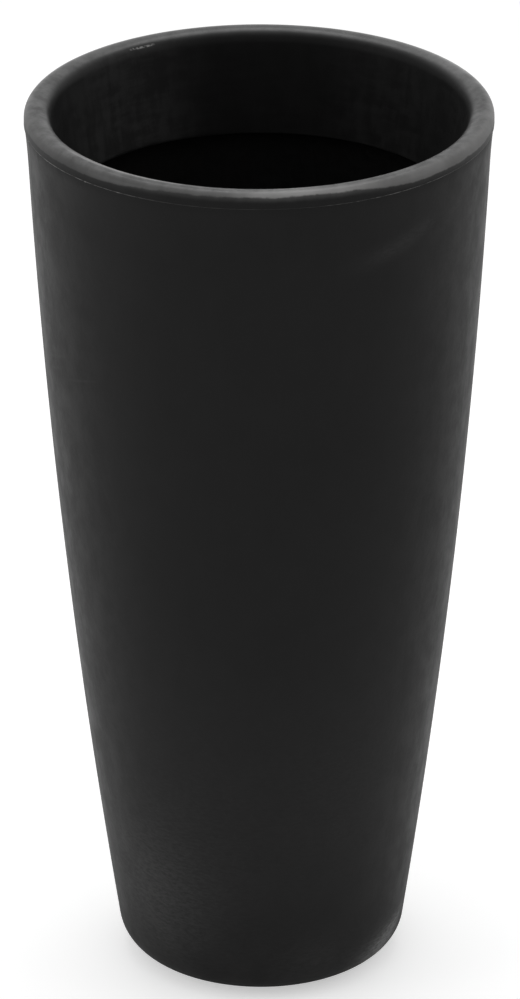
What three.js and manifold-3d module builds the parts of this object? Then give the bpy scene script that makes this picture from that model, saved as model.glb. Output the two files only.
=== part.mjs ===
// Tall round fiberglass planter: a tapered shell with a slight belly, a rolled rim whose collar
// turns back down inside the mouth, a rubber drain plug and four rubber feet.
// Millimetres, +Z up. The origin is on the ground, under the middle of the planter.

import * as THREE from 'three';
import { mergeVertices } from 'three/addons/utils/BufferGeometryUtils.js';
import Module from 'manifold-3d';

// ---- Sizes of the whole planter ----

const overallHeight = 800; // ground to the crown of the rim
const rimDiameter = 400; // across the outside of the rolled rim
const baseDiameter = 245.2; // the wall's outside, carried down to the underside
const wallBelly = 10.5; // how far the wall stands out from a straight taper, halfway up
const rimFlare = 1.1; // the wall's last swell outwards, where it meets the rim
const flareHeight = 36; // length of that swell, below the seam

// ---- Shell ----

const wallThickness = 4;
const floorThickness = 6;
const baseEdgeRound = 32; // outside radius between the underside and the wall
const floorCornerRound = 28; // inside radius between the floor and the wall
const drainDiameter = 24;
const sumpDepth = 3; // the recess round the drain, below the floor

// ---- Rim and collar ----

const rimDepth = 13.5; // crown of the rim down to the bonded seam
const rimProud = 0.5; // how far the rim's side stands out past the wall
const rimOuterRound = 8;
const rimInnerRound = 12.5;
const rimWidth = 22.4; // the rim's side to the mouth
const crownTilt = 21; // degrees that the crown has turned down where the inner round starts
const collarDepth = 91.8; // crown of the rim down to the collar's trimmed edge
const collarTaper = 11.8; // how far that edge lies in from the mouth
const collarThickness = 4; // laminate of the rim and the collar
const trimEase = 0.8; // bevel on trimmed edges
const tongueHeight = 22; // the lap that is bonded inside the shell's mouth
const tongueThickness = 3.5;
const shoulderRise = 1; // laminate kept above the ledge that sits on the shell

// ---- Drain plug ----

const plugFlangeDiameter = 40;
const plugFlangeThickness = 2.5;
const plugEdgeRound = 0.8;
const plugShankLength = 5.8;
const plugRibCount = 2;
const plugRibDepth = 1.2;
const plugNeckDiameter = 8;
const plugNeckLength = 5;
const plugKnobDiameter = 16;
const plugKnobThickness = 6;
const plugKnobRound = 2.4;

// ---- Feet ----

const footDiameter = 30;
const footHeight = 5; // how far a foot stands out below the shell
const footInset = 5; // foot's edge to where the base starts to curve up
const footPocketDepth = 1;
const footBevel = 0.8;
const footCount = 4;

// ---- Clearances ----

const bondGap = 0.3; // glue line between shell and rim
const seatGap = 0.3; // under the plug's flange, and over each foot
const plugClearance = 0.3; // radial, between the plug and the drain
const sumpClearance = 3; // radial, between the plug's flange and the sump
const pocketClearance = 0.5; // radial, between a foot and its pocket

// ---- Fineness of the curves ----

const roundSegments = 72;
const plugSegments = 24;
const footSegments = 24;
const wallSteps = 8;
const flareSteps = 3;
const baseRoundFacets = 6; // across each round of the base
const smallRoundFacets = 4; // across each round of the rim and the plug

// ---- Heights and radii that follow ----

const underside = footHeight;
const floorTop = underside + floorThickness;
const sumpTop = floorTop - sumpDepth;
const seamHeight = overallHeight - rimDepth;
const shellTop = seamHeight - bondGap / 2;
const ledgeHeight = seamHeight + bondGap / 2;
const flareStart = seamHeight - flareHeight;
const drainRadius = drainDiameter / 2;
const plugFlangeRadius = plugFlangeDiameter / 2;
const sumpRadius = plugFlangeRadius + sumpClearance;
const footRadius = footDiameter / 2;

const wasm = await Module();
wasm.setup();

// The wall's outside radius at a height: a straight taper, an even belly and the flare on top.
function wallRadius(height) {
  const baseRadius = baseDiameter / 2;
  const topRadius = rimDiameter / 2 - rimProud - rimFlare;
  const share = (height - underside) / (seamHeight - underside);
  const taper = baseRadius + (topRadius - baseRadius) * share;
  const belly = 4 * wallBelly * share * (1 - share);
  const flareShare = Math.max(0, (height - flareStart) / flareHeight);
  return taper + belly + rimFlare * flareShare ** 2;
}

function boreRadius(height) {
  return wallRadius(height) - wallThickness;
}

function tongueOuterRadius(height) {
  return boreRadius(height) - bondGap;
}

function tongueInnerRadius(height) {
  return tongueOuterRadius(height) - tongueThickness;
}

// The round between a floor and a wall that leans outwards: its centre, and where it meets the
// wall.
function floorRound(radiusAt, floorHeight, round) {
  const centreHeight = floorHeight + round;
  const rise = 1;
  const lean = Math.atan2(radiusAt(centreHeight) - radiusAt(centreHeight - rise), rise);
  const wallHeight = centreHeight - round * Math.sin(lean);
  const centreRadius = radiusAt(wallHeight) - round * Math.cos(lean);
  return { centreRadius, centreHeight, wallHeight, lean };
}

// Straight steps along a curved face from one height to another.
function followFace(section, radiusAt, fromHeight, toHeight, steps) {
  for (let step = 0; step <= steps; step += 1) {
    const height = fromHeight + ((toHeight - fromHeight) * step) / steps;
    section.lineTo(radiusAt(height), height);
  }
}

// Turns a closed section, with radius as x and height as y, about the planter's axis. Its arcs
// get two facets for each division.
function turned(section, roundFacets, segments) {
  const geometry = new THREE.LatheGeometry(section.getPoints(roundFacets / 2), segments);
  return geometry.rotateX(Math.PI / 2);
}

function toSolid(geometry) {
  const bare = geometry.clone();
  bare.deleteAttribute('normal');
  bare.deleteAttribute('uv');
  const merged = mergeVertices(bare);
  return new wasm.Manifold(
    new wasm.Mesh({
      numProp: 3,
      vertProperties: new Float32Array(merged.attributes.position.array),
      triVerts: new Uint32Array(merged.index.array),
    }),
  );
}

function toGeometry(solid) {
  const mesh = solid.getMesh();
  const geometry = new THREE.BufferGeometry();
  geometry.setAttribute('position', new THREE.BufferAttribute(mesh.vertProperties, mesh.numProp));
  geometry.setIndex(new THREE.BufferAttribute(mesh.triVerts, 1));
  geometry.computeVertexNormals();
  return geometry;
}

// The feet stand on one circle, just inside the flat part of the base.
function footCentres() {
  const base = floorRound(wallRadius, underside, baseEdgeRound);
  const circleRadius = base.centreRadius - footInset - footRadius;
  return Array.from({ length: footCount }, (_, index) => {
    const angle = ((index + 0.5) * 2 * Math.PI) / footCount;
    return new THREE.Vector2(circleRadius * Math.cos(angle), circleRadius * Math.sin(angle));
  });
}

function shellSection() {
  const outer = floorRound(wallRadius, underside, baseEdgeRound);
  const inner = floorRound(boreRadius, floorTop, floorCornerRound);
  const down = -Math.PI / 2;
  const section = new THREE.Path();
  section.moveTo(drainRadius, underside);
  section.lineTo(outer.centreRadius, underside);
  section.absarc(outer.centreRadius, outer.centreHeight, baseEdgeRound, down, -outer.lean, false);
  followFace(section, wallRadius, outer.wallHeight, flareStart, wallSteps);
  followFace(section, wallRadius, flareStart, shellTop, flareSteps);
  followFace(section, boreRadius, shellTop, flareStart, flareSteps);
  followFace(section, boreRadius, flareStart, inner.wallHeight, wallSteps);
  section.absarc(inner.centreRadius, inner.centreHeight, floorCornerRound, -inner.lean, down, true);
  section.lineTo(sumpRadius, floorTop);
  section.lineTo(sumpRadius, sumpTop);
  section.lineTo(drainRadius, sumpTop);
  section.closePath();
  return section;
}

// The shell: turned from its section, then pocketed underneath for the feet.
function outerShell() {
  let shell = toSolid(turned(shellSection(), baseRoundFacets, roundSegments));
  const pocketRadius = footRadius + pocketClearance;
  const overrun = 1;
  const cutterHeight = footPocketDepth + overrun;
  for (const centre of footCentres()) {
    const cutter = new THREE.CylinderGeometry(pocketRadius, pocketRadius, cutterHeight, footSegments);
    cutter.rotateX(Math.PI / 2);
    cutter.translate(centre.x, centre.y, underside - overrun + cutterHeight / 2);
    shell = shell.subtract(toSolid(cutter));
  }
  return toGeometry(shell);
}

function collarSection() {
  const rimRadius = rimDiameter / 2;
  const mouthRadius = rimRadius - rimWidth;
  const collarEndRadius = mouthRadius - collarTaper;
  const collarFoot = overallHeight - collarDepth;
  const tongueFoot = seamHeight - tongueHeight;
  const tilt = THREE.MathUtils.degToRad(crownTilt);
  const taper = Math.atan2(collarTaper, collarDepth - rimInnerRound);

  // Centres of the two rounds of the rim, and the end of the crown between them.
  const outerRoundRadius = rimRadius - rimOuterRound;
  const outerRoundHeight = overallHeight - rimOuterRound;
  const innerRoundRadius = mouthRadius + rimInnerRound * Math.cos(taper);
  const crownEndRadius = innerRoundRadius - rimInnerRound * Math.sin(tilt);
  const crownMidRadius = (outerRoundRadius + crownEndRadius) / 2;
  const crownEndHeight = overallHeight - (crownMidRadius - crownEndRadius) * Math.tan(tilt);
  const innerRoundHeight = crownEndHeight - rimInnerRound * Math.cos(tilt);

  // The hollow under the rim keeps the laminate's thickness.
  const hollowOuterRound = Math.max(rimOuterRound - collarThickness, trimEase);
  const hollowInnerRound = Math.max(rimInnerRound - collarThickness, trimEase);

  const up = Math.PI / 2;
  const section = new THREE.Path();
  section.moveTo(rimRadius, ledgeHeight);
  section.lineTo(rimRadius, outerRoundHeight);
  section.absarc(outerRoundRadius, outerRoundHeight, rimOuterRound, 0, up, false);
  section.quadraticCurveTo(crownMidRadius, overallHeight, crownEndRadius, crownEndHeight);
  section.absarc(innerRoundRadius, innerRoundHeight, rimInnerRound, up + tilt, Math.PI - taper, false);
  section.lineTo(collarEndRadius, collarFoot + trimEase);
  section.lineTo(collarEndRadius + trimEase, collarFoot);
  section.lineTo(collarEndRadius + collarThickness - trimEase, collarFoot);
  section.lineTo(collarEndRadius + collarThickness, collarFoot + trimEase);
  section.absarc(innerRoundRadius, innerRoundHeight, hollowInnerRound, Math.PI - taper, up, true);
  section.absarc(outerRoundRadius, outerRoundHeight, hollowOuterRound, up, 0, true);
  section.lineTo(tongueInnerRadius(seamHeight), ledgeHeight + shoulderRise);
  section.lineTo(tongueInnerRadius(tongueFoot), tongueFoot + trimEase);
  section.lineTo(tongueInnerRadius(tongueFoot) + trimEase, tongueFoot);
  section.lineTo(tongueOuterRadius(tongueFoot) - trimEase, tongueFoot);
  followFace(section, tongueOuterRadius, tongueFoot + trimEase, seamHeight, flareSteps);
  section.lineTo(tongueOuterRadius(seamHeight), ledgeHeight);
  section.closePath();
  return section;
}

// The plug: a flange in the sump, a ribbed shank through the drain, and a knob to pull it by.
function plugSection() {
  const flangeFoot = sumpTop + seatGap;
  const flangeTop = flangeFoot + plugFlangeThickness;
  const knobFoot = flangeTop + plugNeckLength;
  const knobTop = knobFoot + plugKnobThickness;
  const tip = flangeFoot - plugShankLength;
  const ribRadius = drainRadius - plugClearance;
  const coreRadius = ribRadius - plugRibDepth;
  const neckRadius = plugNeckDiameter / 2;
  const ribPitch = (sumpTop - underside) / plugRibCount;
  const flangeCornerRadius = plugFlangeRadius - plugEdgeRound;
  const knobCornerRadius = plugKnobDiameter / 2 - plugKnobRound;
  const quarter = Math.PI / 2;
  const section = new THREE.Path();
  section.moveTo(0, tip);
  section.lineTo(coreRadius - plugEdgeRound, tip);
  section.absarc(coreRadius - plugEdgeRound, tip + plugEdgeRound, plugEdgeRound, -quarter, 0, false);
  for (let rib = 0; rib < plugRibCount; rib += 1) {
    const ribFoot = underside + rib * ribPitch;
    section.lineTo(coreRadius, ribFoot);
    section.lineTo(ribRadius, ribFoot + ribPitch / 2);
  }
  section.lineTo(coreRadius, sumpTop);
  section.lineTo(coreRadius, flangeFoot);
  section.absarc(flangeCornerRadius, flangeFoot + plugEdgeRound, plugEdgeRound, -quarter, 0, false);
  section.absarc(flangeCornerRadius, flangeTop - plugEdgeRound, plugEdgeRound, 0, quarter, false);
  section.lineTo(neckRadius, flangeTop);
  section.lineTo(neckRadius, knobFoot);
  section.absarc(knobCornerRadius, knobFoot + plugKnobRound, plugKnobRound, -quarter, 0, false);
  section.absarc(knobCornerRadius, knobTop - plugKnobRound, plugKnobRound, 0, quarter, false);
  section.lineTo(0, knobTop);
  return section;
}

// A foot: a bevelled pad that reaches up into its pocket.
function footSection() {
  const footTop = footHeight + footPocketDepth - seatGap;
  const section = new THREE.Path();
  section.moveTo(0, 0);
  section.lineTo(footRadius - footBevel, 0);
  section.lineTo(footRadius, footBevel);
  section.lineTo(footRadius, footTop);
  section.lineTo(0, footTop);
  return section;
}

function gelcoat(color, roughness) {
  return new THREE.MeshStandardMaterial({ color, roughness, metalness: 0 });
}

function rubber(color) {
  return new THREE.MeshStandardMaterial({ color, roughness: 0.85, metalness: 0 });
}

function piece(name, geometry, material) {
  const mesh = new THREE.Mesh(geometry, material);
  mesh.name = name;
  return mesh;
}

function feet() {
  const group = new THREE.Group();
  footCentres().forEach((centre, index) => {
    const pad = turned(footSection(), smallRoundFacets, footSegments);
    const foot = piece(`foot_pad_${index + 1}`, pad, rubber(0x161616));
    foot.position.set(centre.x, centre.y, 0);
    group.add(foot);
  });
  return group;
}

const collar = turned(collarSection(), smallRoundFacets, roundSegments);
const plug = turned(plugSection(), smallRoundFacets, plugSegments);

const planter = new THREE.Group();
planter.add(piece('outer_shell', outerShell(), gelcoat(0x292929, 0.5)));
planter.add(piece('rim_collar', collar, gelcoat(0x2e2e2e, 0.55)));
planter.add(piece('drain_plug', plug, rubber(0x131313)));
planter.add(feet());

export default planter;
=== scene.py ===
import math
import time

import bmesh
import bpy
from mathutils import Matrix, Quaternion, Vector, noise
from mathutils.geometry import delaunay_2d_cdt


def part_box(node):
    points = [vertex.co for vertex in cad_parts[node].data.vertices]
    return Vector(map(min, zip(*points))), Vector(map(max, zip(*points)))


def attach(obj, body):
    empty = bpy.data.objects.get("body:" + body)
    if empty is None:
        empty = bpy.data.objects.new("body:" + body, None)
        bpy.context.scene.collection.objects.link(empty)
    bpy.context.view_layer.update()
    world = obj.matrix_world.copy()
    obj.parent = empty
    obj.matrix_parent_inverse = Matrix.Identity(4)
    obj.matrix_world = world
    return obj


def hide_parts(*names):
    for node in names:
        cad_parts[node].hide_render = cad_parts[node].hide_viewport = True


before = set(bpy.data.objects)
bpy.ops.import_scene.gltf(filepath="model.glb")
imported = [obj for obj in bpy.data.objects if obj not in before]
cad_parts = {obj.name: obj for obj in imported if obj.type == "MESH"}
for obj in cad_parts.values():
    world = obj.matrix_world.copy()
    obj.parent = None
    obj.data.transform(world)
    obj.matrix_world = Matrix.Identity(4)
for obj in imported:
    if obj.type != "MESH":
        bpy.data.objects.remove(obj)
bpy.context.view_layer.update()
started = time.perf_counter()


def report(stage):
    print(f"{stage}, {time.perf_counter() - started:.1f} s")


def mm(value):
    return value / 1000


def clamp(value):
    return min(1, max(0, value))


quarter = math.pi / 2
report("frame loaded")

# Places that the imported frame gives, in metres.
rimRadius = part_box("rim_collar")[1].x
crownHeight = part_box("rim_collar")[1].z
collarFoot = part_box("rim_collar")[0].z
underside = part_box("outer_shell")[0].z
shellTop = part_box("outer_shell")[1].z
bondGap = mm(0.3)
seamHeight = shellTop + bondGap / 2
ledgeHeight = shellTop + bondGap


# A radius so many millimetres in from the rim's side, and a height so many below its crown.
def fromSide(distance):
    return rimRadius - mm(distance)


def fromTop(distance):
    return crownHeight - mm(distance)


class Signal:  # a shader socket that takes Python's operators
    def __init__(self, finish, socket):
        self.finish = finish
        self.socket = socket

    def __add__(self, other):
        return self.finish.math("ADD", self, other)

    def __sub__(self, other):
        return self.finish.math("SUBTRACT", self, other)

    def __rsub__(self, other):
        return self.finish.math("SUBTRACT", other, self)

    def __mul__(self, other):
        return self.finish.math("MULTIPLY", self, other)

    def __truediv__(self, other):
        return self.finish.math("DIVIDE", self, other)

    def __rtruediv__(self, other):
        return self.finish.math("DIVIDE", other, self)

    def __pow__(self, other):
        return self.finish.math("POWER", self, other)

    def __rpow__(self, other):
        return self.finish.math("POWER", other, self)

    def __neg__(self):
        return self.finish.math("MULTIPLY", self, -1)

    def __abs__(self):
        return self.finish.math("ABSOLUTE", self)

    __radd__ = __add__
    __rmul__ = __mul__


class Finish:  # one material, or the world, and its nodes
    def __init__(self, owner):
        owner.use_nodes = True
        self.owner = owner
        self.tree = owner.node_tree
        self.tree.nodes.clear()

    # Any node: its type, its settings, the values or links of its sockets, and which output.
    def node(self, kind, settings=None, values=None, output=0):
        made = self.tree.nodes.new(kind)
        for name, value in (settings or {}).items():
            if name == "stops":
                self.setStops(made.color_ramp, value)
            else:
                setattr(made, name, value)
        for name, value in (values or {}).items():
            if isinstance(value, Signal):
                self.tree.links.new(value.socket, made.inputs[name])
            else:
                made.inputs[name].default_value = value
        return Signal(self, made.outputs[output]) if len(made.outputs) else None

    def setStops(self, ramp, stops):
        while len(ramp.elements) < len(stops):
            ramp.elements.new(1.0)
        for element, (position, level) in zip(ramp.elements, stops):
            element.position = position
            element.color = (level, level, level, 1)

    def math(self, operation, *values):
        return self.node("ShaderNodeMath", {"operation": operation}, dict(enumerate(values)))

    # The angle round the planter, in radians: 0 at the front, -Y, and growing towards +X.
    def angleOf(self, x, y):
        return self.math("ARCTAN2", x, -y)

    def distance(self, x, y):
        return self.math("SQRT", x * x + y * y)

    def place(self):
        return self.node("ShaderNodeTexCoord", output="Object")

    def split(self, vector):
        parts = self.node("ShaderNodeSeparateXYZ", values={0: vector}).socket.node.outputs
        return [Signal(self, part) for part in parts]

    def stretch(self, vector, factors):
        return self.node("ShaderNodeVectorMath", {"operation": "MULTIPLY"}, {0: vector, 1: factors})

    def noise(self, vector, scale, detail=2.0, roughness=0.5):
        values = {"Vector": vector, "Scale": scale, "Detail": detail, "Roughness": roughness}
        return self.node("ShaderNodeTexNoise", values=values)

    def ridges(self, vector, scale, detail=3.0):
        values = {"Vector": vector, "Scale": scale, "Detail": detail, "Gain": 1.0, "Offset": 0.9}
        return self.node("ShaderNodeTexNoise", {"noise_type": "RIDGED_MULTIFRACTAL"}, values)

    def smooth(self, value, low, high, start=0.0, end=1.0):
        settings = {"interpolation_type": "SMOOTHSTEP"}
        return self.node("ShaderNodeMapRange", settings, {0: value, 1: low, 2: high, 3: start, 4: end})

    # 1 close to an angle and 0 far from it: how many degrees off it is gone, and still full.
    def near(self, angle, centre, gone, full):
        return self.smooth(abs(angle - math.radians(centre)), math.radians(gone), math.radians(full))

    # A bell curve, 1 at the centre.
    def bell(self, value, centre, spread):
        off = (value - centre) / spread
        return math.e ** -(off * off)

    def ramp(self, value, stops):
        return self.node("ShaderNodeValToRGB", {"stops": stops}, {0: value})

    def blend(self, factor, first, second):
        settings = {"data_type": "RGBA", "clamp_factor": True}
        return self.node("ShaderNodeMix", settings, {0: factor, 6: first, 7: second}, output=2)

    def bump(self, height, strength, depth, normal=None):
        values = {"Height": height, "Strength": strength, "Distance": depth}
        if normal:
            values["Normal"] = normal
        return self.node("ShaderNodeBump", values=values)

    def surface(self, values):
        shader = self.node("ShaderNodeBsdfPrincipled", values=values)
        self.node("ShaderNodeOutputMaterial", values={"Surface": shader})
        return self.owner


def grey(level, warmth=0.0):
    return (level * (1 + warmth), level, level * (1 - warmth), 1)


gelcoatLook = {
    "dark": grey(0.0082),
    "pale": grey(0.0132),
    # the pale of the rubs, which also paints light in the broad patches and towards the foot
    "rubbedAndLit": grey(0.16),
    "dust": grey(0.06, 0.04),
    "roughness": 0.46,
    "specularLevel": 0.080,
    "footDust": 0.12,
    "footDustHeight": 0.075,
    "specks": 0.10,
    "lowerPaintedLight": 0.020,  # an even paleness that grows from mid-height to the foot: painted light
    "markRadius": 0.165,  # marks are laid out on a wall of this radius
    # soft oblong rubs and scratches, and broad pale patches that are painted light: angle, height, length,
    # width, slant and strength
    "marks": [
        (-70, 0.118, 0.042, 0.012, 82, 0.16),
        (-50, 0.095, 0.075, 0.068, 10, 0.18),
        (-26, 0.170, 0.085, 0.120, 0, 0.035),
        (26, 0.210, 0.070, 0.110, 0, 0.030),
        (22, 0.030, 0.055, 0.035, 0, 0.065),
        (66, 0.037, 0.044, 0.013, 24, 0.95),
        (54, 0.024, 0.034, 0.018, 14, 0.60),
        (84, 0.048, 0.026, 0.012, 50, 0.42),
        (41, 0.742, 0.034, 0.007, 24, 0.05),
        (33, 0.734, 0.026, 0.008, 15, 0.04),
        (56, 0.748, 0.020, 0.006, 35, 0.05),
        (70, 0.657, 0.014, 0.009, 60, 0.13),
        (74, 0.735, 0.030, 0.012, 75, 0.09),
        (58, 0.700, 0.050, 0.030, 50, 0.025),
        (-70, 0.597, 0.026, 0.0016, 22, 0.13),
        (-70, 0.586, 0.022, 0.0014, 22, 0.10),
        (-55, 0.592, 0.020, 0.0012, 20, 0.06),
        (-69, 0.556, 0.020, 0.010, 70, 0.08),
        (-118, 0.240, 0.050, 0.016, 64, 0.05),
        (128, 0.470, 0.036, 0.004, -28, 0.10),
        (152, 0.090, 0.040, 0.012, 12, 0.14),
        (-152, 0.640, 0.028, 0.005, 40, 0.06),
    ],
}


def markOnWall(angle, height, radius, mark):
    markAngle, markHeight, length, width, slant, strength = mark
    lean = math.radians(slant)
    along = (angle - math.radians(markAngle)) * radius
    rise = height - markHeight
    lengthwise = (along * math.cos(lean) + rise * math.sin(lean)) / length
    crosswise = (rise * math.cos(lean) - along * math.sin(lean)) / width
    return math.e ** -(lengthwise * lengthwise + crosswise * crosswise) * strength


# The smooth, satin outside of the shell.
def makeGelcoat(look):
    finish = Finish(bpy.data.materials.new("shellGelcoat"))
    place = finish.place()
    x, y, height = finish.split(place)
    angle = finish.angleOf(x, y)
    cloud = finish.noise(place, 7, 3, 0.55)
    blotch = finish.noise(place, 34, 3, 0.6)
    grain = finish.noise(place, 900, 2)
    streaks = finish.noise(finish.stretch(place, (1, 1, 0.05)), 130, 3, 0.6)
    tone = cloud * 0.9 + blotch * 0.45 + streaks * 0.25 + grain * 0.35 - 0.5
    color = finish.blend(tone, look["dark"], look["pale"])
    # Rubs and scratches, plus broad pale patches and an even paleness towards the foot that are painted
    # light.
    rubsAndLight = sum(markOnWall(angle, height, look["markRadius"], mark) for mark in look["marks"])
    scratchy = finish.smooth(finish.noise(finish.stretch(place, (1, 1, 3)), 160, 4, 0.7), 0.3, 0.7)
    rubsAndLight = rubsAndLight * (scratchy * 0.8 + 0.4) + finish.smooth(height, 0.55, 0.10, 0.0, look["lowerPaintedLight"])
    color = finish.blend(rubsAndLight, color, look["rubbedAndLit"])
    dust = finish.smooth(height, look["footDustHeight"], mm(6)) * finish.smooth(blotch, 0.35, 0.75)
    specks = finish.smooth(finish.noise(place, 420, 1), 0.735, 0.78)
    color = finish.blend(dust * look["footDust"] + specks * look["specks"], color, look["dust"])
    mottle = finish.smooth(finish.noise(finish.stretch(place, (1, 1, 0.7)), 55, 4, 0.7), 0.3, 0.7)
    roughness = cloud * 0.12 + streaks * 0.08 + mottle * 0.10 + rubsAndLight * 0.5 + (look["roughness"] - 0.15)
    peel = finish.noise(place, 230, 2, 0.4)
    normal = finish.bump(peel, 0.12, mm(0.6))
    normal = finish.bump(grain, 0.06, mm(0.2), normal)
    return finish.surface({
        "Base Color": color,
        "Roughness": roughness,
        "Specular IOR Level": look["specularLevel"],
        "Normal": normal,
    })


# Angles and reaches are in degrees.
rimLook = {
    "dark": grey(0.0080),
    "pale": grey(0.0138),
    "wallSide": grey(0.0100),
    # the collar's inside is painted darker towards the rear: painted shade
    "wallRearShade": grey(0.0042),
    # the crown is paler than the rest as dust and a painted highlight, and darker towards the rear as
    # painted shade
    "crown": grey(0.070),
    "crownRear": grey(0.026),
    "wornAndSheen": grey(0.25, 0.01),
    # how worn and how brightly lit the crown is painted round the planter, from the back through the left,
    # front and right: wear with a painted highlight, strongest at the front
    "wearAndSheen": [(0.0, 0.07), (0.25, 0.13), (0.36, 0.20), (0.44, 0.27), (0.475, 0.42), (0.50, 0.90),
             (0.53, 1.0), (0.56, 0.80), (0.60, 0.46), (0.67, 0.56), (0.80, 0.20), (1.0, 0.07)],
    "wornSheenSpotAngle": 9,  # the palest spot, by the front: wear and a painted highlight
    "wornSheenSpotReach": 6,
    "wornSheenSpotStrength": 0.35,
    "lipSheenAngle": -38,  # a painted highlight along the inner lip at the front left
    "lipSheenStrength": 0.75,
    "glintAngle": 120,  # a better polished stretch at the right rear
    "glintReach": 13,
    # the pale of the strokes, which also paints light on the collar's inside at the left
    "streakAndLight": grey(0.060),
    "leftStreakAndLightAngle": -134,
    "rightStreakAndLightAngle": 138,
    "chalk": grey(0.20, 0.01),
    "chipAngle": -145.8,
    "chipReach": 4.4,
    "chipHeight": 0.7958,
    "roughness": 0.45,
    "specularLevel": 0.08,
    "coatRoughness": 0.30,
}


# Where hands wear the crown, with a painted highlight over the wear: its outer half, further down at the
# sides, a pale spot and the lip.
def wearAndSheenMask(finish, look, angle, radius, height, cloud, blotch, crown):
    reach = finish.smooth(abs(angle), math.radians(22), math.radians(42), mm(3.8), mm(7.4))
    reach = reach + finish.smooth(angle, math.radians(22), math.radians(40), 0, mm(1.2))
    ragged = height + (blotch - 0.5) * mm(4) + reach
    wornAndSheen = finish.ramp(angle / math.tau + 0.5, look["wearAndSheen"])
    wornAndSheen = wornAndSheen * finish.smooth(radius, fromSide(10), fromSide(3))
    top = finish.smooth(ragged, fromTop(0.7), fromTop(-0.9))
    below = finish.smooth(ragged, fromTop(5.5), fromTop(-0.5))
    wornAndSheen = wornAndSheen * (top * 0.86 + below * 0.14) * finish.smooth(cloud, 0.2, 0.7, 0.55, 1.0)
    wornSheenSpot = finish.bell(angle, math.radians(look["wornSheenSpotAngle"]), math.radians(look["wornSheenSpotReach"]))
    lipSheen = finish.smooth(radius, fromSide(9.5), fromSide(11.8)) * finish.near(angle, look["lipSheenAngle"], 28, 8)
    return wornAndSheen + wornSheenSpot * crown * look["wornSheenSpotStrength"] + lipSheen * crown * look["lipSheenStrength"]


# Faint strokes inside the collar, on its left and right and towards its foot, stronger on the left as
# painted light.
def brushAndLightMask(finish, look, angle, height, crossed):
    left = finish.near(angle, look["leftStreakAndLightAngle"], 36, 6)
    right = finish.near(angle, look["rightStreakAndLightAngle"], 26, 4)
    strokesAndLight = (crossed * 0.16 + 0.17) * left + (crossed * 0.07 + 0.03) * right
    low = finish.smooth(height, fromTop(20), fromTop(85))
    return strokesAndLight * (low * 0.35 + 0.9) + crossed * 0.015 + low * 0.025


# The chipped inner edge at the back left, broken up.
def chipMask(finish, look, place, angle, radius, height, blotch):
    along = finish.near(angle, look["chipAngle"], look["chipReach"], look["chipReach"] * 0.7)
    off = abs(height + (blotch - 0.5) * mm(2) - look["chipHeight"])
    across = finish.smooth(off, mm(0.9), mm(0.3)) * finish.smooth(radius, fromSide(16), fromSide(17.5))
    return along * across * finish.smooth(finish.noise(place, 420, 2), 0.36, 0.56)


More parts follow.
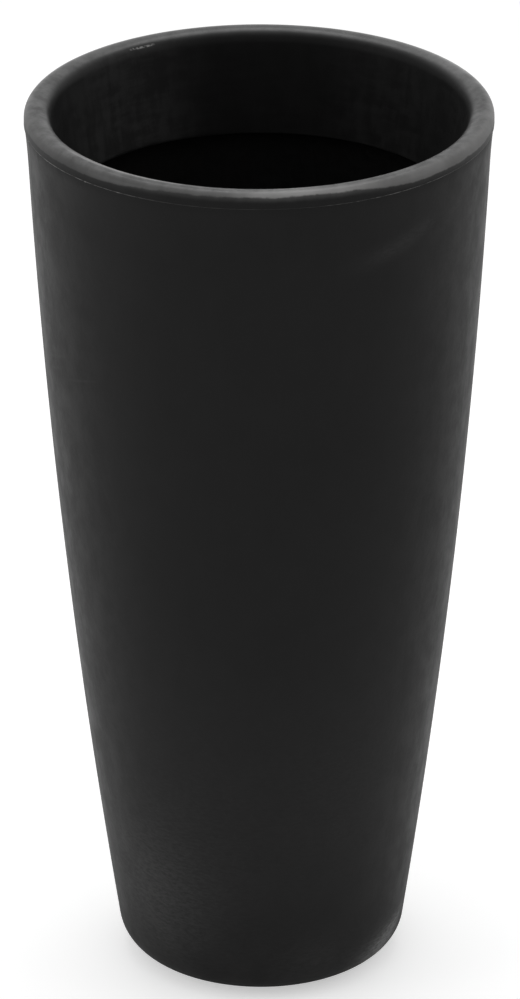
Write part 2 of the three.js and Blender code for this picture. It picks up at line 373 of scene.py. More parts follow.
# The rolled rim and the inside of its collar: a polished, mottled crown with dust and a painted highlight,
# painted shade towards the rear, and faint brush strokes that also paint light.
def makeRimGelcoat(look):
    finish = Finish(bpy.data.materials.new("rimGelcoat"))
    place = finish.place()
    x, y, height = finish.split(place)
    angle = finish.angleOf(x, y)
    radius = finish.distance(x, y)
    across = x / radius  # -1 at the left, 1 at the right
    back = y / radius  # -1 at the front, 1 at the rear
    cloud = finish.noise(place, 16, 3, 0.6)
    blotch = finish.noise(place, 70, 4, 0.65)
    grain = finish.noise(place, 1000, 2)
    uprights = finish.noise(finish.stretch(place, (1, 1, 0.10)), 120, 3, 0.6)
    hoops = finish.noise(finish.stretch(place, (0.20, 0.20, 1)), 150, 3, 0.6)
    crossed = finish.smooth(uprights * 0.32 + hoops * 0.32 + blotch * 0.36, 0.41, 0.60)

    # The crown's dust and painted highlight end nearer to its middle behind, and stay bright further
    # inwards in front.
    behind = finish.smooth(back, 0.05, 0.75)
    ahead = finish.smooth(back, 0.02, -0.12) * finish.smooth(radius, fromSide(12), fromSide(15))
    blur = behind * mm(1.4) - ahead * mm(1) + mm(2.6)
    inwards = radius - behind * mm(2) - across * mm(0.8) + ahead * mm(1.6)
    edge = finish.smooth(inwards, fromSide(19.5) - blur, fromSide(19.5) + blur)
    crown = finish.smooth(height + ahead * mm(3.5), fromTop(3.5), fromTop(0.6)) * edge
    glint = finish.bell(angle, math.radians(look["glintAngle"]), math.radians(look["glintReach"]))
    polished = height + glint * mm(8.5) + ahead * mm(4)
    polish = finish.smooth(polished, fromTop(8.5), fromTop(2.5)) * edge
    glaze = finish.smooth(blotch, 0.2, 0.8, 0.28, 0.56)
    glaze = glaze + behind * 0.45 + behind * across * 0.12 + glint * 0.25

    tone = cloud * 0.8 + blotch * 0.5 + grain * 0.35 - 0.45
    color = finish.blend(tone, look["dark"], look["pale"])
    inside = finish.smooth(radius, fromSide(16.5), fromSide(20.5))
    # Painted shade: the collar's inside is darker towards the rear.
    rearShade = finish.smooth(back, 0.25, 0.97) + (cloud - 0.5) * 0.3
    color = finish.blend(inside, color, finish.blend(rearShade, look["wallSide"], look["wallRearShade"]))
    # Brush strokes, with painted light on the collar's left.
    brushedAndLit = brushAndLightMask(finish, look, angle, height, crossed) * inside
    color = finish.blend(brushedAndLit, color, look["streakAndLight"])
    # The crown's dust and painted highlight, with painted shade towards the rear.
    crownTone = finish.blend(finish.smooth(back, 0.35, 0.85), look["crown"], look["crownRear"])
    color = finish.blend(crown * finish.smooth(blotch, 0.25, 0.75, 0.1, 0.9), color, crownTone)
    # Wear with a painted highlight, brightest at the front.
    wornAndSheen = wearAndSheenMask(finish, look, angle, radius, height, cloud, blotch, crown)
    color = finish.blend(wornAndSheen, color, look["wornAndSheen"])
    chip = chipMask(finish, look, place, angle, radius, height, blotch)
    color = finish.blend(chip, color, look["chalk"])
    roughness = cloud * 0.12 + crossed * inside * 0.12 + chip * 0.4 + (look["roughness"] - 0.06)
    normal = finish.bump(finish.noise(place, 190, 3, 0.5), 0.16, mm(0.6))
    normal = finish.bump(uprights * inside, 0.12, mm(0.4), normal)
    normal = finish.bump(grain, 0.06, mm(0.2), normal)
    return finish.surface({
        "Base Color": color,
        "Roughness": roughness,
        "Specular IOR Level": look["specularLevel"],
        "Coat Weight": polish * glaze * (1 - chip),
        "Coat Roughness": look["coatRoughness"],
        "Normal": normal,
    })


laminateLook = {
    "resin": grey(0.0040, 0.02),
    "strand": grey(0.0090, 0.03),
    "dry": (0.150, 0.142, 0.128, 1),  # bare fibres towards the floor
    "bareBelow": 0.50,
    "soil": (0.110, 0.090, 0.068, 1),
    "soilDepth": mm(30),
    "roughness": 0.58,
    "specularLevel": 0.12,
}


# The back of the laminate, inside: chopped strands under dark resin, barer and soiled low down.
def makeLaminate(name, look, floorHeight):
    finish = Finish(bpy.data.materials.new(name))
    place = finish.place()
    level = finish.split(place)[2]
    strands = finish.ridges(place, 75)
    cross = finish.ridges(finish.stretch(place, (1.7, 0.8, 0.6)), 120)
    lumps = finish.noise(place, 60, 3, 0.6)
    grit = finish.noise(place, 700, 2)
    weave = strands * 0.5 + cross * 0.4
    color = finish.blend(weave * 0.7 + lumps * 0.4 - 0.4, look["resin"], look["strand"])
    indoors = finish.smooth(level, floorHeight - mm(5.5), floorHeight - mm(4))  # not the underside
    bare = finish.smooth(level, look["bareBelow"], 0.10) * (weave * 0.7 + 0.1) * indoors
    color = finish.blend(bare, color, look["dry"])
    settled = finish.smooth(level, floorHeight + look["soilDepth"], floorHeight)
    settled = settled * finish.smooth(lumps, 0.4, 0.75) * indoors
    color = finish.blend(settled * 0.7, color, look["soil"])
    normal = finish.bump(weave, 0.5, mm(0.9))
    normal = finish.bump(grit, 0.2, mm(0.3), normal)
    return finish.surface({
        "Base Color": color,
        "Roughness": lumps * 0.2 + (look["roughness"] - 0.1),
        "Specular IOR Level": look["specularLevel"],
        "Normal": normal,
    })


cutLook = {
    "resin": grey(0.010),
    "fibre": grey(0.040, 0.03),
    "roughness": 0.5,
    "specularLevel": 0.15,
}


# Where the laminate was trimmed: glassy fibre ends in dark resin.
def makeCutEdge(look):
    finish = Finish(bpy.data.materials.new("cutLaminate"))
    place = finish.place()
    layers = finish.noise(finish.stretch(place, (1, 1, 5)), 420, 3, 0.6)
    fibres = finish.noise(place, 1600, 2)
    tone = finish.smooth(layers * 0.6 + fibres * 0.4, 0.36, 0.68)
    return finish.surface({
        "Base Color": finish.blend(tone, look["resin"], look["fibre"]),
        "Roughness": fibres * 0.3 + look["roughness"],
        "Specular IOR Level": look["specularLevel"],
        "Normal": finish.bump(layers, 0.4, mm(0.3)),
    })


seamLook = {
    "dark": grey(0.012),
    "pale": grey(0.17, 0.01),
    # how pale the line is round the planter, from the back through the left, front and right
    "paleness": [(0.0, 0.25), (0.30, 0.55), (0.34, 1.0), (0.39, 0.80), (0.44, 0.16), (0.53, 0.05),
                 (0.57, 0.40), (0.605, 1.0), (0.66, 0.6), (0.72, 0.3), (1.0, 0.25)],
    "specks": [(-76.5, 0.9), (-46.5, 0.8), (-35.8, 1.0), (38.6, 0.35)],  # angle and strength
    "speckSize": mm(1.1),
    "roughness": 0.4,
    "specularLevel": 0.2,
}


# The hair of resin left along the bond between the rim and the shell.
def makeSeamResin(look):
    finish = Finish(bpy.data.materials.new("seamResin"))
    place = finish.place()
    x, y, _ = finish.split(place)
    angle = finish.angleOf(x, y)
    broken = finish.smooth(finish.noise(place, 150, 3, 0.7), 0.34, 0.6)
    pale = finish.ramp(angle / math.tau + 0.5, look["paleness"]) * broken
    for speckAngle, strength in look["specks"]:
        speck = finish.bell(angle, math.radians(speckAngle), look["speckSize"] / rimRadius)
        pale = speck * strength + pale
    return finish.surface({
        "Base Color": finish.blend(pale, look["dark"], look["pale"]),
        "Roughness": broken * 0.2 + look["roughness"],
        "Specular IOR Level": look["specularLevel"],
        "Normal": finish.bump(finish.noise(place, 1400, 2), 0.3, mm(0.2)),
    })


plugLook = {
    "dark": grey(0.006),
    "pale": grey(0.014),
    "bloom": grey(0.05, 0.03),
    "ringPitch": mm(2),
    "roughness": 0.55,
    "specularLevel": 0.3,
}

footLook = {
    "dark": grey(0.008),
    "pale": grey(0.018),
    "bloom": grey(0.07, 0.05),
    "ringPitch": mm(1.5),
    "roughness": 0.55,
    "specularLevel": 0.3,
}


# Matt rubber with a dusty bloom and faint moulding rings.
def makeRubber(name, look):
    finish = Finish(bpy.data.materials.new(name))
    place = finish.place()
    blotch = finish.noise(place, 180, 3, 0.6)
    grain = finish.noise(place, 2600, 2)
    rings = finish.noise(finish.stretch(place, (0.1, 0.1, 1)), 1 / look["ringPitch"], 2)
    tone = blotch * 0.7 + grain * 0.4 + rings * 0.2 - 0.2
    color = finish.blend(tone, look["dark"], look["pale"])
    bloom = finish.smooth(finish.noise(place, 90, 4, 0.65), 0.45, 0.75)
    color = finish.blend(bloom * 0.35, color, look["bloom"])
    normal = finish.bump(grain, 0.25, mm(0.2))
    normal = finish.bump(rings, 0.1, mm(0.2), normal)
    return finish.surface({
        "Base Color": color,
        "Roughness": blotch * 0.2 + bloom * 0.15 + look["roughness"],
        "Specular IOR Level": look["specularLevel"],
        "Normal": normal,
    })


report("materials ready")

# A section is a list of (radius, height, finish): the finish is that of the strip that starts there.


def arcPoints(centreRadius, centreHeight, size, start, end, steps, finish):
    points = []
    for step in range(steps + 1):
        angle = start + (end - start) * step / steps
        across = centreRadius + size * math.cos(angle)
        points.append((across, centreHeight + size * math.sin(angle), finish))
    return points


def linePoints(start, end, steps, finish):
    points = []
    for step in range(steps + 1):
        share = step / steps
        radius = start[0] + (end[0] - start[0]) * share
        points.append((radius, start[1] + (end[1] - start[1]) * share, finish))
    return points


def facePoints(radiusAt, start, end, steps, finish):
    points = []
    for step in range(steps + 1):
        height = start + (end - start) * step / steps
        points.append((radiusAt(height), height, finish))
    return points


# A groove across a flat face, from its near side to its far side.
def groovePoints(middle, height, width, flank, depth):
    across = (-flank, -width, width, flank)
    return [(middle + off, height + rise, 0) for off, rise in zip(across, (0, depth, depth, 0))]


def withoutRepeats(section):
    kept = [section[0]]
    for point in section[1:]:
        if math.hypot(point[0] - kept[-1][0], point[1] - kept[-1][1]) < 1e-7:
            kept[-1] = point
        else:
            kept.append(point)
    return kept


# Angles run from the front, -Y, towards +X.
def roundAbout(radius, angle, height):
    return (radius * math.sin(angle), -radius * math.cos(angle), height)


# Turns a section into a bmesh with a bake map. A closed section ends where it starts.
def turn(section, segments, shape=None, mapLow=0.0, closed=False):
    section = withoutRepeats(section)
    mesh = bmesh.new()
    bakeMap = mesh.loops.layers.uv.new("OFBake")
    lengths = [0.0]
    for first, second in zip(section, section[1:]):
        lengths.append(lengths[-1] + math.hypot(second[0] - first[0], second[1] - first[1]))
    rings = []
    for radius, height, finish in section[:-1] if closed else section:
        if radius < 1e-9:
            rings.append([mesh.verts.new((0, 0, height))] * (segments + 1))
            continue
        ring = []
        for step in range(segments):
            angle = step * math.tau / segments
            at = shape(radius, height, angle, finish) if shape else (radius, height)
            ring.append(mesh.verts.new(roundAbout(at[0], angle, at[1])))
        rings.append(ring + ring[:1])
    if closed:
        rings.append(rings[0])
    for index in range(len(rings) - 1):
        low, high = rings[index], rings[index + 1]
        bottom, top = [mapLow + (1 - mapLow) * lengths[index + k] / lengths[-1] for k in (0, 1)]
        for step in range(segments):
            corners = [low[step], low[step + 1], high[step + 1], high[step]]
            left, right = step / segments, (step + 1) / segments
            spots = [(left, bottom), (right, bottom), (right, top), (left, top)]
            if corners[0] is corners[1]:
                corners, spots = corners[1:], spots[1:]
            elif corners[2] is corners[3]:
                corners, spots = corners[:3], spots[:3]
            face = mesh.faces.new(corners)
            face.smooth = True
            face.material_index = section[index][2]
            for loop, spot in zip(face.loops, spots):
                loop[bakeMap].uv = spot
    return mesh


def finishPiece(mesh, name, materials, body, node=None, sharp=32):
    data = bpy.data.meshes.new(name)
    mesh.to_mesh(data)
    mesh.free()
    data.set_sharp_from_angle(angle=math.radians(sharp))
    for material in materials:
        data.materials.append(material)
    piece = bpy.data.objects.new(name, data)
    bpy.context.scene.collection.objects.link(piece)
    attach(piece, body)
    if node:
        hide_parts(node)
    print(f"  {name}: {len(data.vertices)} vertices, {len(data.polygons)} faces")
    return piece


hillRadius = mm(170)  # of the round walk through the noise


# Slow, seeded hills and hollows, between -1 and 1, that close up round the planter.
def hills(angle, height, size, seed):
    reach = hillRadius / size
    return noise.noise(Vector((reach * math.sin(angle) + seed, reach * math.cos(angle), height / size)))


shellForm = {
    "segments": 360,
    "baseDiameter": mm(245.2),
    "wallBelly": mm(10.5),
    "rimFlare": mm(1.1),
    "flareHeight": mm(36),
    "rimProud": mm(0.5),
    "thickness": mm(4),
    "floorThickness": mm(6),
    "baseRound": mm(32),
    "floorRound": mm(28),
    "drainRadius": mm(12),
    "sumpRadius": mm(23),
    "sumpDepth": mm(3),
    "topEase": mm(0.5),
    "edgeEase": mm(0.6),
    "wave": mm(0.22),  # how far the mould's long waves dip
    "layUp": mm(0.5),  # lumps of the lay-up inside
    "flatFloor": mm(80),  # no lumps nearer to the middle than this
    "pocketDepth": mm(1),
    "pocketRadius": mm(15.5),
    "pocketSegments": 96,
    "undersidePitch": mm(7),  # of the flat underside's mesh
    "undersideMap": 0.12,  # its share of the bake map
    "wallSteps": 92,
    "boreSteps": 110,
    "floorSteps": 22,
}


def wallRadius(height):
    form = shellForm
    baseRadius = form["baseDiameter"] / 2
    topRadius = rimRadius - form["rimProud"] - form["rimFlare"]
    share = (height - underside) / (seamHeight - underside)
    belly = 4 * form["wallBelly"] * share * (1 - share)
    flareShare = max(0, (height - seamHeight + form["flareHeight"]) / form["flareHeight"])
    return baseRadius + (topRadius - baseRadius) * share + belly + form["rimFlare"] * flareShare**2


def boreRadius(height):
    return wallRadius(height) - shellForm["thickness"]


# The round between a floor and the leaning wall: its centre, where it meets the wall, and the lean.
def floorRound(radiusAt, floorHeight, size):
    centreHeight = floorHeight + size
    rise = mm(1)
    lean = math.atan2(radiusAt(centreHeight) - radiusAt(centreHeight - rise), rise)
    wallHeight = centreHeight - size * math.sin(lean)
    return radiusAt(wallHeight) - size * math.cos(lean), centreHeight, wallHeight, lean


outside, inside, cut = 0, 1, 2  # finishes of the shell


def shellSection():
    form = shellForm
    floor = underside + form["floorThickness"]
    sump = form["sumpRadius"]
    sumpFloor = floor - form["sumpDepth"]
    drain = form["drainRadius"]
    outer = floorRound(wallRadius, underside, form["baseRound"])
    inner = floorRound(boreRadius, floor, form["floorRound"])
    ease = form["topEase"]
    small = form["edgeEase"]
    top = shellTop - ease
    section = arcPoints(outer[0], outer[1], form["baseRound"], -quarter, -outer[3], 26, outside)
    section += facePoints(wallRadius, outer[2], top, form["wallSteps"], outside)
    section += arcPoints(wallRadius(top) - ease, top, ease, 0, quarter, 3, cut)
    section += arcPoints(boreRadius(top) + ease, top, ease, quarter, 2 * quarter, 3, cut)
    section += facePoints(boreRadius, top, inner[2], form["boreSteps"], inside)
    section += arcPoints(inner[0], inner[1], form["floorRound"], -inner[3], -quarter, 16, inside)
    section += linePoints((inner[0], floor), (sump + small, floor), form["floorSteps"], inside)
    section += arcPoints(sump + small, floor - small, small, quarter, 2 * quarter, 3, inside)
    section += linePoints((sump, floor - small), (sump, sumpFloor), 2, inside)
    section += linePoints((sump, sumpFloor), (drain, sumpFloor), 4, inside)
    section += linePoints((drain, sumpFloor), (drain, underside), 2, cut)
    return section


# Long shallow waves outside, never past the mould's own line, and a lumpy lay-up inside.
def shellShape(radius, height, angle, finish):
    form = shellForm
    clear = clamp((height - underside) / mm(40))  # the base's edge keeps its line
    if finish == outside:
        dip = 1 + 0.65 * hills(angle, height, 0.16, 3) + 0.35 * hills(angle, height, 0.06, 9)
        return radius - form["wave"] * clear * max(0, dip) / 2, height
    lumps = 0.6 * hills(angle, height, 0.018, 5) + 0.4 * hills(angle, height, 0.007, 7)
    if finish == inside and radius > form["flatFloor"]:
        below = clamp((seamHeight - mm(26) - height) / mm(30))  # the rim's tongue needs a true bore
        return radius + form["layUp"] * lumps * below, height
    return radius, height


# The flat underside, with its drain and the feet's pockets, joined to the turned shell.
def addUnderside(mesh, footCentres):
    form = shellForm
    bakeMap = mesh.loops.layers.uv["OFBake"]
    outerRadius = floorRound(wallRadius, underside, form["baseRound"])[0]
    pocketSegments = form["pocketSegments"]
    pocketTop = underside + form["pocketDepth"]
    points, edges = [], []

    def spotRound(centre, radius, angle):
        x, y, _ = roundAbout(radius, angle, 0)
        return centre[0] + x, centre[1] + y

    def addLoop(centre, radius, steps):
        first = len(points)
        for step in range(steps):
            points.append(Vector(spotRound(centre, radius, step * math.tau / steps)))
            edges.append((first + step, first + (step + 1) % steps))

    addLoop((0, 0), outerRadius, form["segments"])
    addLoop((0, 0), form["drainRadius"], form["segments"])
    for centre in footCentres:
        addLoop(centre, form["pocketRadius"], pocketSegments)
    holes = [((0, 0), form["drainRadius"])] + [(centre, form["pocketRadius"]) for centre in footCentres]
    pitch = form["undersidePitch"]
    count = int(outerRadius / pitch) + 1
    nudge = (mm(0.3), mm(0.7))  # keeps the grid off the loops' own points
    for column in range(-count, count + 1):
        for row in range(-count, count + 1):
            spot = Vector((column * pitch + nudge[0], row * pitch + nudge[1]))
            clearOfHoles = all((spot - Vector(c)).length > r + pitch / 3 for c, r in holes)
            if spot.length < outerRadius - pitch / 3 and clearOfHoles:
                points.append(spot)
    flat, _, triangles = delaunay_2d_cdt(points, edges, [], 1, 1e-7)[:3]

    def addFace(corners, smooth=False):
        face = mesh.faces.new(corners)
        face.material_index = inside
        face.smooth = smooth
        reach = outerRadius * 2.1 / form["undersideMap"]
        middle = form["undersideMap"] / 2
        for loop in face.loops:
            x, y = loop.vert.co.xy
            loop[bakeMap].uv = (middle + x / reach, middle + y / reach)

    verts = [mesh.verts.new((p.x, p.y, underside)) for p in flat]
    for corners in triangles:
        middle = sum((flat[c] for c in corners), Vector((0, 0))) / 3
        if all((middle - Vector(c)).length > r for c, r in holes):
            addFace([verts[c] for c in reversed(corners)])
    for centre in footCentres:
        rims = []
        for height in (underside, pocketTop):
            ring = []
            for step in range(pocketSegments):
                x, y = spotRound(centre, form["pocketRadius"], step * math.tau / pocketSegments)
                ring.append(mesh.verts.new((x, y, height)))
            rims.append(ring)
        for step in range(pocketSegments):
            after = (step + 1) % pocketSegments
            addFace([rims[0][after], rims[0][step], rims[1][step], rims[1][after]], True)
        addFace(list(reversed(rims[1])))
    bmesh.ops.remove_doubles(mesh, verts=mesh.verts, dist=mm(0.002))


footNodes = [f"foot_pad_{number}" for number in (1, 2, 3, 4)]
footCentres = []
for node in footNodes:
    lowest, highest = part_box(node)
    footCentres.append(((lowest.x + highest.x) / 2, (lowest.y + highest.y) / 2))

shellMesh = turn(shellSection(), shellForm["segments"], shellShape, shellForm["undersideMap"] + 0.01)
addUnderside(shellMesh, footCentres)
shellMaterials = [
    makeGelcoat(gelcoatLook),
    makeLaminate("shellLaminate", laminateLook, underside + shellForm["floorThickness"]),
    makeCutEdge(cutLook),
]
finishPiece(shellMesh, "planterShell", shellMaterials, "planter", "outer_shell")
report("shell turned")

rimForm = {
    "segments": 360,
    "outerRound": mm(8),
    "innerRound": mm(12.5),
    "width": mm(22.4),
    "crownTilt": 21,  # degrees
    "collarTaper": mm(11.8),
    "thickness": mm(4),
    "ease": mm(0.8),
    "lowerEase": mm(0.35),
    "tongueHeight": mm(22),
    "tongueThickness": mm(3.5),
    "shoulderRise": mm(1),
    "wave": mm(0.12),
    "leftWide": mm(0.9),  # the crown was filled a little wider on its left
    "trimWave": mm(0.35),  # unevenness of the collar's cut edge
    "chipDepth": mm(0.45),
    "crownSteps": 12,
    "collarSteps": 46,
    "hollowSteps": 40,
}


def rimSection():
    form = rimForm
    tilt = math.radians(form["crownTilt"])
    mouthRadius = rimRadius - form["width"]
    collarEnd = mouthRadius - form["collarTaper"]
    taper = math.atan2(form["collarTaper"], crownHeight - collarFoot - form["innerRound"])
    outerRadius = rimRadius - form["outerRound"]
    outerHeight = crownHeight - form["outerRound"]
    innerRadius = mouthRadius + form["innerRound"] * math.cos(taper)
    crownEnd = innerRadius - form["innerRound"] * math.sin(tilt)
    crownMid = (outerRadius + crownEnd) / 2
    crownEndHeight = crownHeight - (crownMid - crownEnd) * math.tan(tilt)
    innerHeight = crownEndHeight - form["innerRound"] * math.cos(tilt)
    hollowOuter = form["outerRound"] - form["thickness"]
    hollowInner = form["innerRound"] - form["thickness"]
    tongueFoot = seamHeight - form["tongueHeight"]
    ease = form["ease"]
    lower = form["lowerEase"]
    thickness = form["thickness"]

    def tongueOuter(height):
        return boreRadius(height) - bondGap

    def tongueInner(height):
        return tongueOuter(height) - form["tongueThickness"]

    shoulder = (tongueInner(seamHeight), ledgeHeight + form["shoulderRise"])
    section = arcPoints(rimRadius - lower, ledgeHeight + lower, lower, -quarter, 0, 3, outside)
    section += linePoints((rimRadius, ledgeHeight + lower), (rimRadius, outerHeight), 6, outside)
    section += arcPoints(outerRadius, outerHeight, form["outerRound"], 0, quarter, 18, outside)
    for step in range(1, form["crownSteps"]):  # a quadratic curve between the two rounds
        share = step / form["crownSteps"]
        ends = (outerRadius * (1 - share) ** 2 + crownEnd * share**2, crownHeight * (1 - share) ** 2)
        radius = ends[0] + 2 * share * (1 - share) * crownMid
        height = ends[1] + 2 * share * (1 - share) * crownHeight + crownEndHeight * share**2
        section.append((radius, height, outside))
    turnEnd = math.pi - taper
    section += arcPoints(innerRadius, innerHeight, form["innerRound"], quarter + tilt, turnEnd, 16, outside)
    section += linePoints(section[-1][:2], (collarEnd, collarFoot + ease), form["collarSteps"], outside)
    section += linePoints((collarEnd, collarFoot + ease), (collarEnd + ease, collarFoot), 2, cut)
    endOutside = collarEnd + thickness
    section += linePoints((collarEnd + ease, collarFoot), (endOutside - ease, collarFoot), 4, cut)
    section += linePoints((endOutside - ease, collarFoot), (endOutside, collarFoot + ease), 2, cut)
    hollow = arcPoints(innerRadius, innerHeight, hollowInner, turnEnd, quarter, 6, inside)
    section += linePoints((endOutside, collarFoot + ease), hollow[0][:2], form["hollowSteps"], inside)
    section += hollow
    hollow = arcPoints(outerRadius, outerHeight, hollowOuter, quarter, 0, 6, inside)
    section += linePoints(section[-1][:2], hollow[0][:2], 4, inside)
    section += hollow
    section += linePoints(section[-1][:2], shoulder, 2, inside)
    section += linePoints(shoulder, (tongueInner(tongueFoot), tongueFoot + ease), 12, inside)
    section += linePoints(section[-1][:2], (tongueInner(tongueFoot) + ease, tongueFoot), 1, cut)
    section += linePoints(section[-1][:2], (tongueOuter(tongueFoot) - ease, tongueFoot), 2, cut)
    section += facePoints(tongueOuter, tongueFoot + ease, ledgeHeight, 8, inside)
    ledge = (tongueOuter(ledgeHeight), ledgeHeight)
    section += linePoints(ledge, (rimRadius - lower, ledgeHeight), 2, outside)
    return section


# Hand-finished waves on the crown and collar, the chip in the inner edge and the uneven trim.
def rimShape(radius, height, angle, finish):
    form = rimForm
    look = rimLook
    mouthRadius = rimRadius - form["width"]
    if finish == outside:
        inwards = clamp((rimRadius - form["outerRound"] - radius) / mm(10))
        radius -= form["leftWide"] * inwards * max(0, -math.sin(angle))
        dip = form["wave"] * (1 + hills(angle, height, 0.035, 2)) / 2
        above = clamp((height - ledgeHeight) / mm(6))
        height -= dip * above * clamp((radius - mouthRadius) / mm(4))
        if radius > rimRadius - mm(3):
            radius -= dip * above
        if radius < mouthRadius + mm(3):
            radius += form["wave"] * hills(angle, height, 0.025, 6)
        if radius < mouthRadius + mm(6):
            turned = (angle + math.pi) % math.tau - math.pi - math.radians(look["chipAngle"])
            along = turned / math.radians(look["chipReach"])
            across = (height - look["chipHeight"]) / mm(1.3)
            ragged = 0.7 + 0.5 * hills(angle, height, 0.004, 8)
            bite = 0.7 * form["chipDepth"] * math.exp(-(along**6) - across**2) * ragged
            radius += bite
            height -= bite
    if height < collarFoot + mm(2):
        height += form["trimWave"] * (0.5 + 0.5 * hills(angle, 0, 0.02, 4))
    return radius, height


rimMesh = turn(rimSection(), rimForm["segments"], rimShape, closed=True)
rimMaterials = [makeRimGelcoat(rimLook), makeLaminate("rimLaminate", laminateLook, 0), makeCutEdge(cutLook)]
finishPiece(rimMesh, "rolledRim", rimMaterials, "planter", "rim_collar")
report("rim turned")

seamForm = {
    "segments": 720,
    "size": mm(0.36),
    "inset": mm(0.36),  # the line's middle, in from the rim's side
    "drop": mm(0.15),
    "burrSpread": mm(0.7),
    "burrs": [(-76.5, 1.4), (-46.5, 1.3), (-38, 0.5), (-35.8, 1.5),  # angle and size
              (24, 0.5), (46, 0.6), (141, 0.7), (-120, 0.5)],
}


def seamShape(radius, height, angle, finish):
    form = seamForm
    swell = 0.62 + 0.5 * hills(angle, 0.3, 0.012, 11) + 0.35 * hills(angle, 0.1, 0.05, 13)
    for burrAngle, burrSize in form["burrs"]:
        off = (angle - math.radians(burrAngle) + math.pi) % math.tau - math.pi
        swell += burrSize * math.exp(-((off * rimRadius / form["burrSpread"]) ** 2))
    middle = (rimRadius - form["inset"], seamHeight - form["drop"])
    spread = max(0.3, swell)
    outward = min(radius - middle[0], form["inset"] / max(spread, 1))
    return middle[0] + outward * min(spread, 1), middle[1] + (height - middle[1]) * spread


seamMiddle = (rimRadius - seamForm["inset"], seamHeight - seamForm["drop"])
seamSection = arcPoints(*seamMiddle, seamForm["size"], -math.pi, math.pi, 8, 0)
seamMesh = turn(seamSection, seamForm["segments"], seamShape, closed=True)
finishPiece(seamMesh, "seamResinLine", [makeSeamResin(seamLook)], "planter", sharp=60)
report("seam laid")

plugForm = {
    "segments": 160,
    "flangeThickness": mm(2.5),
    "neckRadius": mm(4),
    "neckLength": mm(5),
    "knobRadius": mm(8),
    "knobRound": mm(2.4),
    "edgeRound": mm(0.8),
    "clearance": mm(0.3),
    "ribDepth": mm(1.2),
    "ribCount": 2,
    "ribStep": mm(0.25),
    "seat": mm(0.3),
    "fillet": mm(1.0),
    "dish": mm(0.5),  # hollow in the knob's top
    "ringDepth": mm(0.3),
    "ringShare": 0.72,  # where the ring lies, as a share of the flange's radius
}


def plugSection():
    form = plugForm
    lowest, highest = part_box("drain_plug")
    flangeRadius = highest.x
    sumpFloor = underside + shellForm["floorThickness"] - shellForm["sumpDepth"]
    flangeFoot = sumpFloor + form["seat"]
    flangeTop = flangeFoot + form["flangeThickness"]
    knobFoot = flangeTop + form["neckLength"]
    edge = form["edgeRound"]
    fillet = form["fillet"]
    ribRadius = shellForm["drainRadius"] - form["clearance"]
    coreRadius = ribRadius - form["ribDepth"]
    pitch = (sumpFloor - underside) / form["ribCount"]
    section = linePoints((0, lowest.z), (coreRadius - edge, lowest.z), 4, 0)
    section += arcPoints(coreRadius - edge, lowest.z + edge, edge, -quarter, 0, 6, 0)
    for rib in range(form["ribCount"]):
        foot = underside + rib * pitch
        section += [
            (coreRadius, foot, 0),
            (ribRadius - form["ribStep"], foot + pitch * 0.38, 0),
            (ribRadius, foot + pitch / 2, 0),
            (ribRadius - form["ribStep"], foot + pitch * 0.62, 0),
        ]
    section += [(coreRadius, sumpFloor, 0), (coreRadius, flangeFoot, 0)]
    section += arcPoints(flangeRadius - edge, flangeFoot + edge, edge, -quarter, 0, 6, 0)
    section += arcPoints(flangeRadius - edge, flangeTop - edge, edge, 0, quarter, 6, 0)
    ringRadius = flangeRadius * form["ringShare"]
    depth = form["ringDepth"]
    section += groovePoints(ringRadius, flangeTop, -depth, -2.2 * depth, -depth)
    neck = form["neckRadius"]
    section += arcPoints(neck + fillet, flangeTop + fillet, fillet, -quarter, -2 * quarter, 6, 0)
    section += arcPoints(neck + fillet, knobFoot - fillet, fillet, 2 * quarter, quarter, 6, 0)
    knobRound = form["knobRound"]
    corner = form["knobRadius"] - knobRound
    dishFloor = highest.z - form["dish"]
    section += arcPoints(corner, knobFoot + knobRound, knobRound, -quarter, 0, 8, 0)
    section += arcPoints(corner, highest.z - knobRound, knobRound, 0, quarter, 8, 0)
    section += linePoints((corner - mm(0.4), highest.z), (corner - mm(1.4), dishFloor), 2, 0)
    # the mould's sprue mark, in the middle of the dish
    section += [(mm(0.9), dishFloor, 0), (mm(0.7), dishFloor + mm(0.3), 0), (0, dishFloor + mm(0.35), 0)]
    return section


plugRubber = makeRubber("plugRubber", plugLook)
plugMesh = turn(plugSection(), plugForm["segments"])
finishPiece(plugMesh, "drainPlug", [plugRubber], "plug", "drain_plug", sharp=28)
report("plug turned")

footForm = {
    "segments": 120,
    "bevel": mm(0.8),
    "treadDepth": mm(0.4),
    "treads": [mm(4.5), mm(8), mm(11.3)],  # radii of the grooves underneath
}


def footSection(lowest, highest):
    form = footForm
    radius = (highest.x - lowest.x) / 2
    depth = form["treadDepth"]
    section = [(0, lowest.z, 0)]
    for tread in form["treads"]:
        section += groovePoints(tread, lowest.z, depth, 1.8 * depth, depth)
    section += arcPoints(radius - form["bevel"], lowest.z + form["bevel"], form["bevel"], -quarter, 0, 6, 0)
    section += linePoints((radius, lowest.z + form["bevel"]), (radius, highest.z), 3, 0)
    section.append((0, highest.z, 0))
    return section


footRubber = makeRubber("footRubber", footLook)
for number, (node, centre) in enumerate(zip(footNodes, footCentres), 1):
    lowest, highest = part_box(node)
    footMesh = turn(footSection(lowest, highest), footForm["segments"])
    bmesh.ops.translate(footMesh, verts=footMesh.verts, vec=(centre[0], centre[1], 0))
    finishPiece(footMesh, f"footPad{number}", [footRubber], "planter", node, sharp=28)
report("feet set")

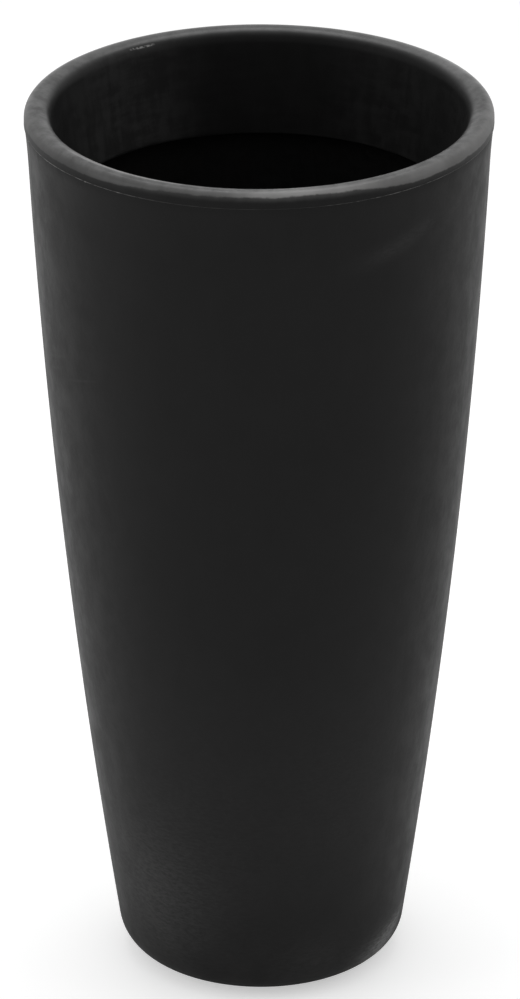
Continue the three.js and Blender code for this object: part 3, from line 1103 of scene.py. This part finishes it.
studio = {
    "worldLevel": 0.62,  # what the sky gives to matt surfaces
    "floorSize": 40.0,
    "floorColor": (0.86, 0.86, 0.86, 1),
    "floorGlow": 0.46,  # seen by the eye and by gloss alone
    "shadeFull": 0.12,  # the planter's own shade on the floor, seen by gloss alone: full within this
    "shadeReach": 0.32,
    "rightDim": 0.45,  # how much darker gloss sees the floor on the right
    "horizonStart": 1.2,  # further off the floor turns plain white
    "horizonEnd": 3.0,
    # each lamp's name, place, aim, width and height, and watts
    "lamps": [
        ("topSoftbox", (0.0, 1.0, 2.9), (0, 0, 0.8), (2.0, 1.2), 15.0),
        ("leftSoftbox", (-2.6, -1.0, 1.3), (0, 0, 0.5), (1.2, 2.2), 11.0),
        ("rightSoftbox", (2.6, -0.8, 1.7), (0, 0, 0.5), (1.0, 2.2), 5.1),
    ],
}

white = (1, 1, 1, 1)
black = (0, 0, 0, 1)


# True for the eye, for gloss and for glass, which all see the white surroundings.
def seenDirectly(finish):
    kinds = ("Camera", "Glossy", "Transmission")
    camera, glossy, through = [
        finish.node("ShaderNodeLightPath", output=f"Is {kind} Ray") for kind in kinds
    ]
    return finish.math("MAXIMUM", finish.math("MAXIMUM", camera, glossy), through)


def makeWorld(look):
    world = bpy.data.worlds.new("studioSky")
    bpy.context.scene.world = world
    finish = Finish(world)
    lit = finish.node("ShaderNodeBackground", values={"Color": white, "Strength": look["worldLevel"]})
    plain = finish.node("ShaderNodeBackground", values={"Color": white, "Strength": 1.0})
    both = finish.node("ShaderNodeMixShader", values={0: seenDirectly(finish), 1: lit, 2: plain})
    finish.node("ShaderNodeOutputWorld", values={"Surface": both})


def makeFloor(look):
    half = look["floorSize"] / 2
    data = bpy.data.meshes.new("studioFloor")
    corners = [(-half, -half, 0), (half, -half, 0), (half, half, 0), (-half, half, 0)]
    data.from_pydata(corners, [], [(0, 1, 2, 3)])
    floor = bpy.data.objects.new("studioFloor", data)
    bpy.context.scene.collection.objects.link(floor)
    finish = Finish(bpy.data.materials.new("paleFloor"))
    matt = finish.node("ShaderNodeBsdfDiffuse", values={"Color": look["floorColor"]})
    x, y, _ = finish.split(finish.place())
    away = finish.distance(x, y)
    gloss = finish.node("ShaderNodeLightPath", output="Is Glossy Ray")
    shade = finish.smooth(away, look["shadeReach"], look["shadeFull"])
    dim = finish.smooth(x, 0.3, 0.8) * finish.smooth(away, 1.7, 1.2) * look["rightDim"]
    lit = finish.blend(gloss * (shade + dim), white, black)
    glow = finish.node("ShaderNodeEmission", values={"Color": lit, "Strength": look["floorGlow"]})
    glowing = finish.node("ShaderNodeAddShader", values={0: matt, 1: glow})
    both = finish.node("ShaderNodeMixShader", values={0: seenDirectly(finish), 1: matt, 2: glowing})
    far = finish.smooth(away, look["horizonStart"], look["horizonEnd"]) * seenDirectly(finish)
    plain = finish.node("ShaderNodeEmission", values={"Color": white, "Strength": 1.0})
    ground = finish.node("ShaderNodeMixShader", values={0: far, 1: both, 2: plain})
    finish.node("ShaderNodeOutputMaterial", values={"Surface": ground})
    data.materials.append(finish.owner)


def makeLamps(look):
    for name, place, aim, size, watts in look["lamps"]:
        light = bpy.data.lights.new(name, "AREA")
        light.shape = "RECTANGLE"
        light.size, light.size_y = size
        light.energy = watts
        lamp = bpy.data.objects.new(name, light)
        lamp.location = place
        lamp.rotation_mode = "QUATERNION"
        lamp.rotation_quaternion = (Vector(aim) - Vector(place)).to_track_quat("-Z", "Y")
        bpy.context.scene.collection.objects.link(lamp)


cameraForm = {
    "target": (-0.00014, 0.0, 0.4315),
    "elevation": 24.72,  # degrees above the horizon
    "distance": 6.05,
    "lens": 250.25,  # mm
    "sensor": 36,
    "roll": -0.16,  # degrees
}


def makeCamera(form):
    data = bpy.data.cameras.new("photoCamera")
    data.lens = form["lens"]
    data.sensor_width = form["sensor"]
    data.sensor_fit = "AUTO"
    data.clip_start, data.clip_end = 0.1, 100
    camera = bpy.data.objects.new("photoCamera", data)
    rise = math.radians(form["elevation"])
    back = Vector((0, -math.cos(rise), math.sin(rise)))
    camera.location = Vector(form["target"]) + back * form["distance"]
    camera.rotation_mode = "QUATERNION"
    tip = Quaternion((1, 0, 0), math.pi / 2 - rise)
    camera.rotation_quaternion = tip @ Quaternion((0, 0, 1), math.radians(form["roll"]))
    bpy.context.scene.collection.objects.link(camera)
    bpy.context.scene.camera = camera


makeWorld(studio)
makeFloor(studio)
makeLamps(studio)
makeCamera(cameraForm)
bpy.context.scene.view_settings.view_transform = "Standard"
report("studio lit")
